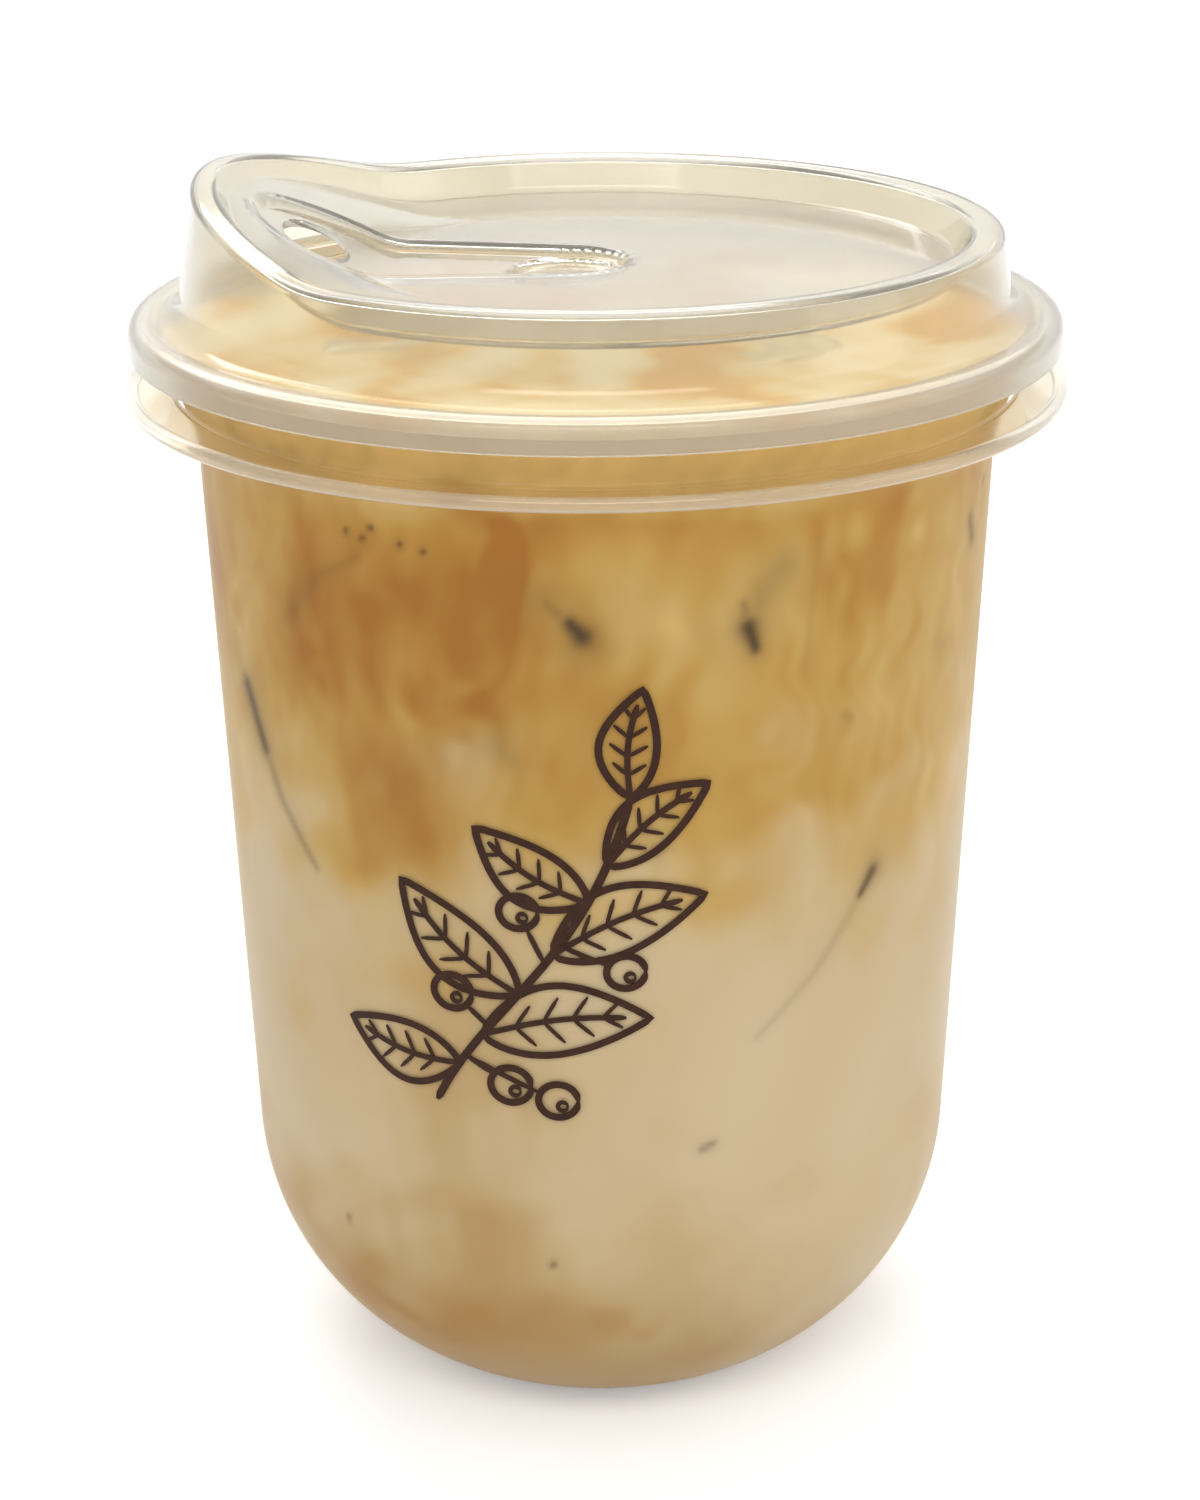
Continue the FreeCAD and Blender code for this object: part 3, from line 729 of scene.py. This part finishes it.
ice_points, ice_faces = [], []
for number, (around, out, at_z, turn, tilt) in enumerate(ICE):
    block, faces = ice_block(around, out, at_z, turn, tilt, 100 + number)
    reach = wall_radius(block[:, 2], CUP_WALL - INTO_WALL) - ICE_FILM
    beyond = np.maximum(np.hypot(block[:, 0], block[:, 1]) / reach, 1.0)
    block[:, :2] /= beyond[:, None]
    ice_faces.append(faces + sum(len(points) for points in ice_points))
    ice_points.append(block)
ice = skin("ice", np.concatenate(ice_points), np.concatenate(ice_faces))
ice_material, nodes, links = new_material("milky_ice")
shader = nodes["Principled BSDF"]
shader.inputs["Roughness"].default_value = 0.12
shader.inputs["IOR"].default_value = 1.31
frost = value_node(nodes, "ShaderNodeTexNoise", Scale=160.0, Detail=4.0, Roughness=0.6)
links.new(nodes.new("ShaderNodeTexCoord").outputs["Object"], frost.inputs["Vector"])
ice_color = ramp(nodes, links, frost.outputs["Fac"], (
    (0.35, (0.66, 0.56, 0.36)), (0.55, (0.74, 0.64, 0.44)), (0.75, (0.82, 0.74, 0.58))))
links.new(ice_color, shader.inputs["Base Color"])
melt = value_node(nodes, "ShaderNodeBump", Distance=0.0003)
links.new(frost.outputs["Fac"], melt.inputs["Height"])
links.new(melt.outputs["Normal"], shader.inputs["Normal"])
ice.data.materials.append(ice_material)
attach(ice, "root")
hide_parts("drink")

# ---------------------------------------------------------------- print
# One-colour print on the front of the cup, laid on by a pad in dark brown ink a few hundredths of a
# millimetre thick: a plain coffee sprig with long leaves and round berries, in even pen lines.
INK_PROUD = 0.05
INK_SUNK = 0.05
INK_HALF = 0.36
INK_STEP = 0.0004
SHARP_ANGLE = math.radians(40.0)
PRINT_MIDDLE = math.radians(267.0)


def curve_points(a, b, c, d, count):
    """Points on a cubic curve with four controls, in mm across and up the front of the cup."""
    t = np.linspace(0.0, 1.0, count)[:, None]
    a, b, c, d = (np.array(point, float) for point in (a, b, c, d))
    return a * (1 - t) ** 3 + 3 * b * t * (1 - t) ** 2 + 3 * c * t * t * (1 - t) + d * t ** 3


def leaf_strokes(base, angle, length, width):
    """A leaf's edge, its middle rib and its side veins, each as points and the pen's half width."""
    turn = np.array(((math.cos(angle), -math.sin(angle)), (math.sin(angle), math.cos(angle))))
    share = np.linspace(0.0, 1.0, 30)
    half = 0.5 * width * np.sin(math.pi * share ** 0.85) ** 0.9
    sag = 0.07 * length * np.sin(math.pi * share)
    upper = np.stack([length * share, sag + half], -1)
    lower = np.stack([length * share, sag - half], -1)
    strokes = [(np.concatenate([upper, lower[::-1][1:]]), INK_HALF)]
    rib = np.stack([length * share[:26], sag[:26]], -1)
    strokes.append((rib, 0.8 * INK_HALF))
    for at in (6, 11, 16, 21):
        for end in (1, -1):
            start = np.array((length * share[at], sag[at]))
            tip = start + (0.11 * length, end * 0.66 * half[at + 2])
            strokes.append((np.linspace(start, tip, 5), 0.55 * INK_HALF))
    return [(points @ turn.T + base, pen) for points, pen in strokes]


def berry_strokes(middle, size):
    """A round berry with the small ring at its tip."""
    turn = np.linspace(0.0, 2 * math.pi, 36)
    ring = np.stack([np.cos(turn), 0.92 * np.sin(turn)], -1)
    tip = middle + size * (0.25 * ring + (0.22, -0.3))
    return [(middle + size * ring, INK_HALF), (tip, 0.6 * INK_HALF)]


def ribbon(points, pen, proud):
    """Closed flat strip along a line on the cup's wall, tapered at both ends."""
    points = np.array(points, float)
    along = np.gradient(points, axis=0)
    along /= np.hypot(along[:, 0], along[:, 1])[:, None]
    beside = np.stack([-along[:, 1], along[:, 0]], -1)
    gone = np.concatenate([[0.0], np.cumsum(np.hypot(*np.diff(points, axis=0).T))])
    half = pen * np.minimum(1.0, 0.45 + np.minimum(gone, gone[-1] - gone) / 1.2)[:, None]
    rings = []
    for across, out in ((1, proud), (-1, proud), (-1, -INK_SUNK), (1, -INK_SUNK)):
        place = points + across * half * beside
        radius = wall_radius(place[:, 1]) + out
        azimuth = PRINT_MIDDLE + place[:, 0] / wall_radius(60.0)
        rings.append(np.stack([radius * np.cos(azimuth), radius * np.sin(azimuth), place[:, 1]], -1))
    vertices = np.stack(rings, 1).reshape(-1, 3)
    faces = [tuple(range(3, -1, -1)), tuple(4 * (len(points) - 1) + i for i in range(4))]
    for step in range(len(points) - 1):
        for i in range(4):
            j = (i + 1) % 4
            faces.append((4 * step + i, 4 * step + j, 4 * step + 4 + j, 4 * step + 4 + i))
    return vertices, faces


stem = curve_points((-15.0, 43.0), (-9.0, 55.0), (1.0, 60.0), (5.0, 77.0), 60)
strokes = [(stem, 1.15 * INK_HALF)]
for at, angle, length, width in ((8, 170, 13, 6.5), (15, 8, 17, 7.5), (25, 138, 16, 7.0), (34, 22, 16, 7.0),
                                 (44, 146, 13, 6.0), (50, 40, 12.5, 5.6), (59, 84, 11, 5.4)):
    strokes += leaf_strokes(stem[at], math.radians(angle), length, width)
for at, middle, size in ((17, (-12.8, 55.4), 2.0), (32, (-5.8, 64.8), 1.9), (10, (-7.0, 45.8), 2.1),
                         (10, (-2.2, 44.4), 2.0), (36, (4.6, 58.6), 1.9)):
    middle = np.array(middle)
    towards = (stem[at] - middle) / np.hypot(*(stem[at] - middle))
    strokes += berry_strokes(middle, size)
    strokes.append((np.linspace(stem[at], middle + size * towards, 5), 0.7 * INK_HALF))
# each stroke stands a hair prouder than the one before, so that crossing lines share no face
print_points, print_faces = [], []
for number, (line, pen) in enumerate(strokes):
    vertices, faces = ribbon(line, pen, INK_PROUD + INK_STEP * number)
    first = sum(len(points) for points in print_points)
    print_faces += [tuple(first + i for i in face) for face in faces]
    print_points.append(vertices)
sprig = skin("printed_sprig", np.concatenate(print_points), print_faces, merge=1e-6)
sprig.data.set_sharp_from_angle(angle=SHARP_ANGLE)
ink, nodes, links = new_material("brown_ink")
shader = nodes["Principled BSDF"]
shader.inputs["Specular IOR Level"].default_value = 0.15
wear = value_node(nodes, "ShaderNodeTexNoise", Scale=900.0, Detail=3.0)
links.new(nodes.new("ShaderNodeTexCoord").outputs["Object"], wear.inputs["Vector"])
links.new(ramp(nodes, links, wear.outputs["Fac"], (
    (0.3, (0.030, 0.011, 0.006)), (0.7, (0.048, 0.019, 0.010)))), shader.inputs["Base Color"])
matt = value_node(nodes, "ShaderNodeMapRange", To_Min=0.45, To_Max=0.62)
links.new(wear.outputs["Fac"], matt.inputs["Value"])
links.new(matt.outputs["Result"], shader.inputs["Roughness"])
sprig.data.materials.append(ink)
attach(sprig, "root")
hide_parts("cup")

# ---------------------------------------------------------------- lid
# A clear press-on lid of thin moulded plastic: skirt, shelf, dome, top ring that arches up into the
# spout, and a sunk panel with an egg-shaped drain channel, a dimple and the punched drinking hole.
LID_WALL = 0.7
SHELF_Z = CUP_HEIGHT + 0.05 + LID_WALL
SKIRT_RADIUS = RIM_RADIUS + 1.2 + LID_WALL
SKIRT_EDGE_Z = SHELF_Z - 3.25
DOME_FOOT_RADIUS = SKIRT_RADIUS - 4.9
RING_Z = SHELF_Z + 8.15
RING_RADIUS = DOME_FOOT_RADIUS - 1.3
RING_INNER_RADIUS = RING_RADIUS - 3.2
STEP_RADIUS = RING_INNER_RADIUS - 1.4
PANEL_Z = RING_Z - 3.7
RAMP_TOE_RADIUS = STEP_RADIUS - 13.0
SPOUT_AZIMUTH = math.radians(176.0)
SPOUT_RISE = 5.5
SPOUT_HALF = math.radians(51.0)
SPOUT_TOE = math.radians(6.0)
SPOUT_LEAN = 0.9
RING_FALL = 0.2
RAMP_SHARE = 1.29
CHANNEL_WIDE = 8.9
CHANNEL_WIDE_AT = STEP_RADIUS - 11.0
CHANNEL_NARROW = 6.3
CHANNEL_NARROW_AT = 3.1
CHANNEL_DEPTH = 1.0
CHANNEL_SLOPE = 1.1
DIMPLE_RADIUS = 5.0
DIMPLE_DEPTH = 0.6
DIMPLE_SLOPE = 0.9
HOLE_AT = STEP_RADIUS - 8.0
HOLE_LENGTH = 11.0
HOLE_WIDTH = 6.4
HOLE_STEPS = 64
PUNCH_SLIVER = 0.002
PUNCH_REACH = (-5.0, 8.0)
# the section's six inner corners: outside radius, and 1 where the outside is convex or -1 where hollow
LID_ROUNDS = (1.4, 2.6, 0.9, 0.9, 0.9, 9.0)
LID_TURNS_IN = (1, -1, 1, 1, -1, -1)
LID_COLUMNS = 320
SPOUT_CROWDING = 0.5
# steps along the section's runs: skirt, shelf, dome, ring, step down, ramp and panel
OUTSIDE_RUNS = (4, 5, 5, 4, 3, 40, 80)
INSIDE_RUNS = (4, 5, 5, 4, 3, 20, 44)
OUTSIDE_ARC = 7
INSIDE_ARC = 5
SKIRT_BEND = 2.2


def rise_at(azimuth):
    """Height of the top ring above its plain level: a cosine arch that runs out softly."""
    off = abs((azimuth - SPOUT_AZIMUTH + math.pi) % (2 * math.pi) - math.pi)
    bend = 0.5 * math.pi / SPOUT_HALF
    if off < SPOUT_HALF - SPOUT_TOE:
        return SPOUT_RISE * math.cos(bend * off)
    left = max(0.0, SPOUT_HALF + SPOUT_TOE - off) / (2 * SPOUT_TOE)
    return SPOUT_RISE * math.sin(bend * SPOUT_TOE) * left * left


def lid_corners(azimuth):
    """Corners of the lid's outer section at an azimuth, from the skirt's edge to the axis."""
    rise = rise_at(azimuth)
    return [(SKIRT_RADIUS, SKIRT_EDGE_Z), (SKIRT_RADIUS, SHELF_Z), (DOME_FOOT_RADIUS, SHELF_Z),
            (RING_RADIUS - SPOUT_LEAN * rise / SPOUT_RISE, RING_Z + rise),
            (RING_INNER_RADIUS, RING_Z + rise - RING_FALL), (STEP_RADIUS, PANEL_Z + RAMP_SHARE * rise),
            (RAMP_TOE_RADIUS, PANEL_Z), (0.0, PANEL_Z)]


def inset(corners, distance):
    """The same polyline moved to its left by a distance."""
    lines = []
    for (r0, z0), (r1, z1) in zip(corners, corners[1:]):
        length = math.hypot(r1 - r0, z1 - z0)
        nr, nz = -(z1 - z0) / length, (r1 - r0) / length
        lines.append((nr, nz, nr * r0 + nz * z0 + distance))
    moved = [(corners[0][0] + lines[0][0] * distance, corners[0][1] + lines[0][1] * distance)]
    for (a0, b0, c0), (a1, b1, c1), (r, z) in zip(lines, lines[1:], corners[1:]):
        det = a0 * b1 - a1 * b0
        if abs(det) < 1e-9:
            moved.append((r + a0 * distance, z + b0 * distance))
        else:
            moved.append(((c0 * b1 - c1 * b0) / det, (a0 * c1 - a1 * c0) / det))
    moved.append((corners[-1][0] + lines[-1][0] * distance, corners[-1][1] + lines[-1][1] * distance))
    return moved


def fixed_path(corners, rounds, arc_steps, run_steps):
    """Rounded polyline with the same number of points whatever its shape: steps for each run and arc."""
    points = []
    here = np.array(corners[0], float)
    for before, corner, after, radius, steps in zip(corners, corners[1:], corners[2:], rounds, run_steps):
        start, arc_points, end = bend(before, corner, after, radius, arc_steps)
        points += spaced(here, start, steps) + arc_points
        here = end
    last = np.array(corners[-1], float)
    return points + spaced(here, last, run_steps[len(rounds)]) + [last]


def spaced(start, end, steps):
    """Points from start up to, but without, end, the first and last steps short ones."""
    close = min(0.1 / max(np.hypot(*(end - start)), 1e-6), 0.2)
    shares = [0.0] + list(np.linspace(close, 1 - close, max(steps - 1, 1)))
    return [start + (end - start) * share for share in shares[:steps]]


def channel_distance(along, across):
    """Distance outside the drain channel's edge: two round ends joined by straight tangents."""
    apart = CHANNEL_WIDE_AT - CHANNEL_NARROW_AT
    lean = (CHANNEL_NARROW - CHANNEL_WIDE) / apart
    level = math.sqrt(1 - lean * lean)
    x, y = np.abs(across), along - CHANNEL_NARROW_AT
    share = y * level - x * lean
    straight = x * level + y * lean - CHANNEL_NARROW
    narrow_end = np.hypot(x, y) - CHANNEL_NARROW
    wide_end = np.hypot(x, y - apart) - CHANNEL_WIDE
    return np.where(share < 0, narrow_end, np.where(share > level * apart, wide_end, straight))


def sunk_by(x, y, growth):
    """How far the panel is pressed down at a point: the drain channel and the round dimple."""
    along = x * math.cos(SPOUT_AZIMUTH) + y * math.sin(SPOUT_AZIMUTH)
    across = y * math.cos(SPOUT_AZIMUTH) - x * math.sin(SPOUT_AZIMUTH)
    from_dimple = np.hypot(along - CHANNEL_NARROW_AT, across) - DIMPLE_RADIUS
    channel = CHANNEL_DEPTH * smooth(0.5 - (channel_distance(along, across) - growth) / CHANNEL_SLOPE)
    return channel + DIMPLE_DEPTH * smooth(0.5 - (from_dimple - growth) / DIMPLE_SLOPE)


def punched(obj, cutter):
    """The object with an upright prism cut out of it, and the prism removed."""
    cut = obj.modifiers.new("punched_hole", "BOOLEAN")
    cut.operation = "DIFFERENCE"
    cut.solver = "EXACT"
    cut.object = cutter
    result = bpy.data.meshes.new_from_object(obj.evaluated_get(bpy.context.evaluated_depsgraph_get()))
    obj.modifiers.clear()
    clean = bmesh.new()
    clean.from_mesh(result)
    bmesh.ops.remove_doubles(clean, verts=clean.verts, dist=PUNCH_SLIVER * MM)
    bmesh.ops.dissolve_degenerate(clean, edges=clean.edges, dist=PUNCH_SLIVER * MM)
    clean.to_mesh(result)
    clean.free()
    obj.data = result
    obj.data.set_sharp_from_angle(angle=SHARP_ANGLE)
    bpy.data.objects.remove(cutter)


def hole_prism():
    """Upright oval prism through the panel where the drinking hole is, its long way across the spout."""
    turn = 2 * math.pi * np.arange(HOLE_STEPS) / HOLE_STEPS
    along = HOLE_AT + 0.5 * HOLE_WIDTH * np.cos(turn)
    across = 0.5 * HOLE_LENGTH * np.sin(turn)
    c, s = math.cos(SPOUT_AZIMUTH), math.sin(SPOUT_AZIMUTH)
    x, y = along * c - across * s, along * s + across * c
    levels = [np.stack([x, y, np.full(HOLE_STEPS, PANEL_Z + z)], -1) for z in PUNCH_REACH]
    sides = grid_faces(2, HOLE_STEPS).tolist()
    ends = [range(HOLE_STEPS - 1, -1, -1), range(HOLE_STEPS, 2 * HOLE_STEPS)]
    return skin("hole_prism", np.concatenate(levels), sides + ends)


def lid_azimuths():
    """Columns round the lid, twice as close in the spout's half."""
    t = np.arange(LID_COLUMNS) / LID_COLUMNS
    return SPOUT_AZIMUTH + math.pi + 2 * math.pi * t + SPOUT_CROWDING * np.sin(2 * math.pi * t)


def lid_side(side, arc_steps, run_steps):
    """Rows of points over the lid's outside (0) or inside (1), one row for each step of the section."""
    rows = []
    for azimuth in lid_azimuths():
        corners = lid_corners(azimuth)
        rounds = LID_ROUNDS
        if side:
            corners = inset(corners, LID_WALL)
            rounds = [r - t * LID_WALL for r, t in zip(LID_ROUNDS, LID_TURNS_IN)]
        path = np.array(fixed_path(corners, rounds, arc_steps, run_steps))
        x, y = path[:, 0] * math.cos(azimuth), path[:, 0] * math.sin(azimuth)
        z = path[:, 1] - sunk_by(x, y, 0.5 * LID_WALL * side) * (path[:, 0] < STEP_RADIUS)
        rows.append(np.stack([x, y, z], -1))
    return np.stack(rows, 1)


outside = lid_side(0, OUTSIDE_ARC, OUTSIDE_RUNS)
inside = lid_side(1, INSIDE_ARC, INSIDE_RUNS)
lid_grid = np.concatenate([outside[::-1], inside], 0)
lid = skin("lid", lid_grid.reshape(-1, 3), grid_faces(len(lid_grid), LID_COLUMNS))
punched(lid, hole_prism())
lid.data.materials.append(plastic(
    "clear_lid_plastic", 0.92, 1.0, 1.25, 0.3,
    Clear_Color=(0.87, 0.835, 0.74, 1), Cloudy_Color=(0.72, 0.685, 0.58, 1),
    Roughness_Low=0.08, Roughness_High=0.15, Grain_Size=1200.0, Grain_Height=0.000001, Wave_Height=0.0001))
lid.data.materials.append(plastic(
    "milky_skirt_highlight", 0.78, 0.5, 1.25, 0.22,
    Clear_Color=(0.74, 0.71, 0.645, 1), Cloudy_Color=(0.62, 0.59, 0.52, 1),
    Roughness_Low=0.16, Roughness_High=0.24, Grain_Size=1200.0, Grain_Height=0.000001, Wave_Height=0.0))
lid.data.materials.append(plastic(
    "shaded_panel_plastic", 0.92, 1.0, 1.25, 0.3,
    Clear_Color=(0.81, 0.79, 0.735, 1), Cloudy_Color=(0.62, 0.60, 0.545, 1),
    Roughness_Low=0.05, Roughness_High=0.12, Grain_Size=1200.0, Grain_Height=0.000001, Wave_Height=0.0002))
# milky skirt up to its bend, partly its own milkier plastic and partly a painted highlight along the
# shoulder; a greyer copy of the plastic on the sunk panel as painted shade; clear shelf, dome and ring
# between them
for face in lid.data.polygons:
    out = math.hypot(face.center.x, face.center.y) / MM
    face.material_index = 1 if out > SKIRT_RADIUS - SKIRT_BEND else 2 if out < STEP_RADIUS else 0
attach(lid, "root")
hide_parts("lid")
